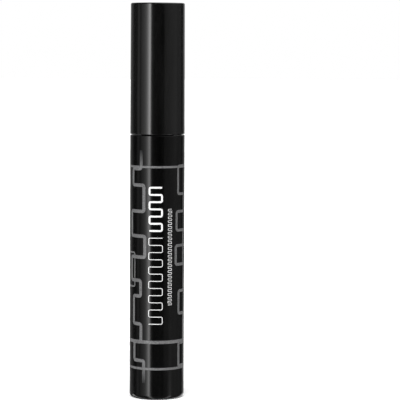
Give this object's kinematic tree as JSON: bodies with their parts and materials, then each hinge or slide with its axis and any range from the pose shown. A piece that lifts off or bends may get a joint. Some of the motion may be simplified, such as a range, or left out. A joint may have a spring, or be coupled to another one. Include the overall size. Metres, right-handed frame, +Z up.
{
  "type": "mascara tube",
  "caption": "Slim black mascara tube with a screw cap that lifts out the applicator: rod, twisted wire and bristle brush.",
  "frame": {"origin": "centre of the base's rest face, on the tube's axis", "axes": "+Z up along the tube's axis, towards the cap; the printed front faces -Y"},
  "size_m": [0.0184, 0.0184, 0.1324],
  "materials": {
    "shell_gloss": "gloss black moulded plastic, printed with grey lines",
    "print_grey": "satin grey printing ink with a metallic tone",
    "print_white": "white printing ink",
    "label": "white paper label",
    "vial_plastic": "satin black moulded plastic",
    "wiper_rubber": "soft dark rubber",
    "paste": "wet black paste",
    "gasket_foam": "closed-cell white foam",
    "cap_gloss": "high-gloss black moulded plastic",
    "inner_plastic": "satin black moulded plastic",
    "rod_plastic": "semi-gloss black moulded plastic",
    "wire": "dark coated steel wire",
    "bristle": "black nylon filament"
  },
  "bodies": {
    "bottle": {"bottle_shell": "shell_gloss", "base_label": "label", "inner_vial": "vial_plastic", "wiper": "wiper_rubber", "mascara_paste": "paste"},
    "gasket": {"sealing_gasket": "gasket_foam"},
    "applicator": {"cap_shell": "cap_gloss", "inner_cap": "inner_plastic", "applicator_rod": "rod_plastic", "wire_core": "wire", "bristle_row_01": "bristle", "bristle_row_02": "bristle", "bristle_row_03": "bristle", "bristle_row_04": "bristle", "bristle_row_05": "bristle", "bristle_row_06": "bristle", "bristle_row_07": "bristle", "bristle_row_08": "bristle", "bristle_row_09": "bristle", "bristle_row_10": "bristle", "bristle_row_11": "bristle", "bristle_row_12": "bristle", "bristle_row_13": "bristle", "bristle_row_14": "bristle", "bristle_row_15": "bristle", "bristle_row_16": "bristle"}
  },
  "joints": [
    {"name": "applicator_pull", "type": "slide", "parent": "bottle", "child": "gasket", "axis": [0, 0, 1], "range_m": [0, 0.1], "deforming": ["bristle_row_01", "bristle_row_02", "bristle_row_03", "bristle_row_04", "bristle_row_05", "bristle_row_06", "bristle_row_07", "bristle_row_08", "bristle_row_09", "bristle_row_10", "bristle_row_11", "bristle_row_12", "bristle_row_13", "bristle_row_14", "bristle_row_15", "bristle_row_16"]},
    {"name": "cap_turn", "type": "hinge", "parent": "gasket", "child": "applicator", "pos_m": [0, 0, 0.08865], "axis": [0, 0, 1], "range_deg": [0, 504]}
  ]
}
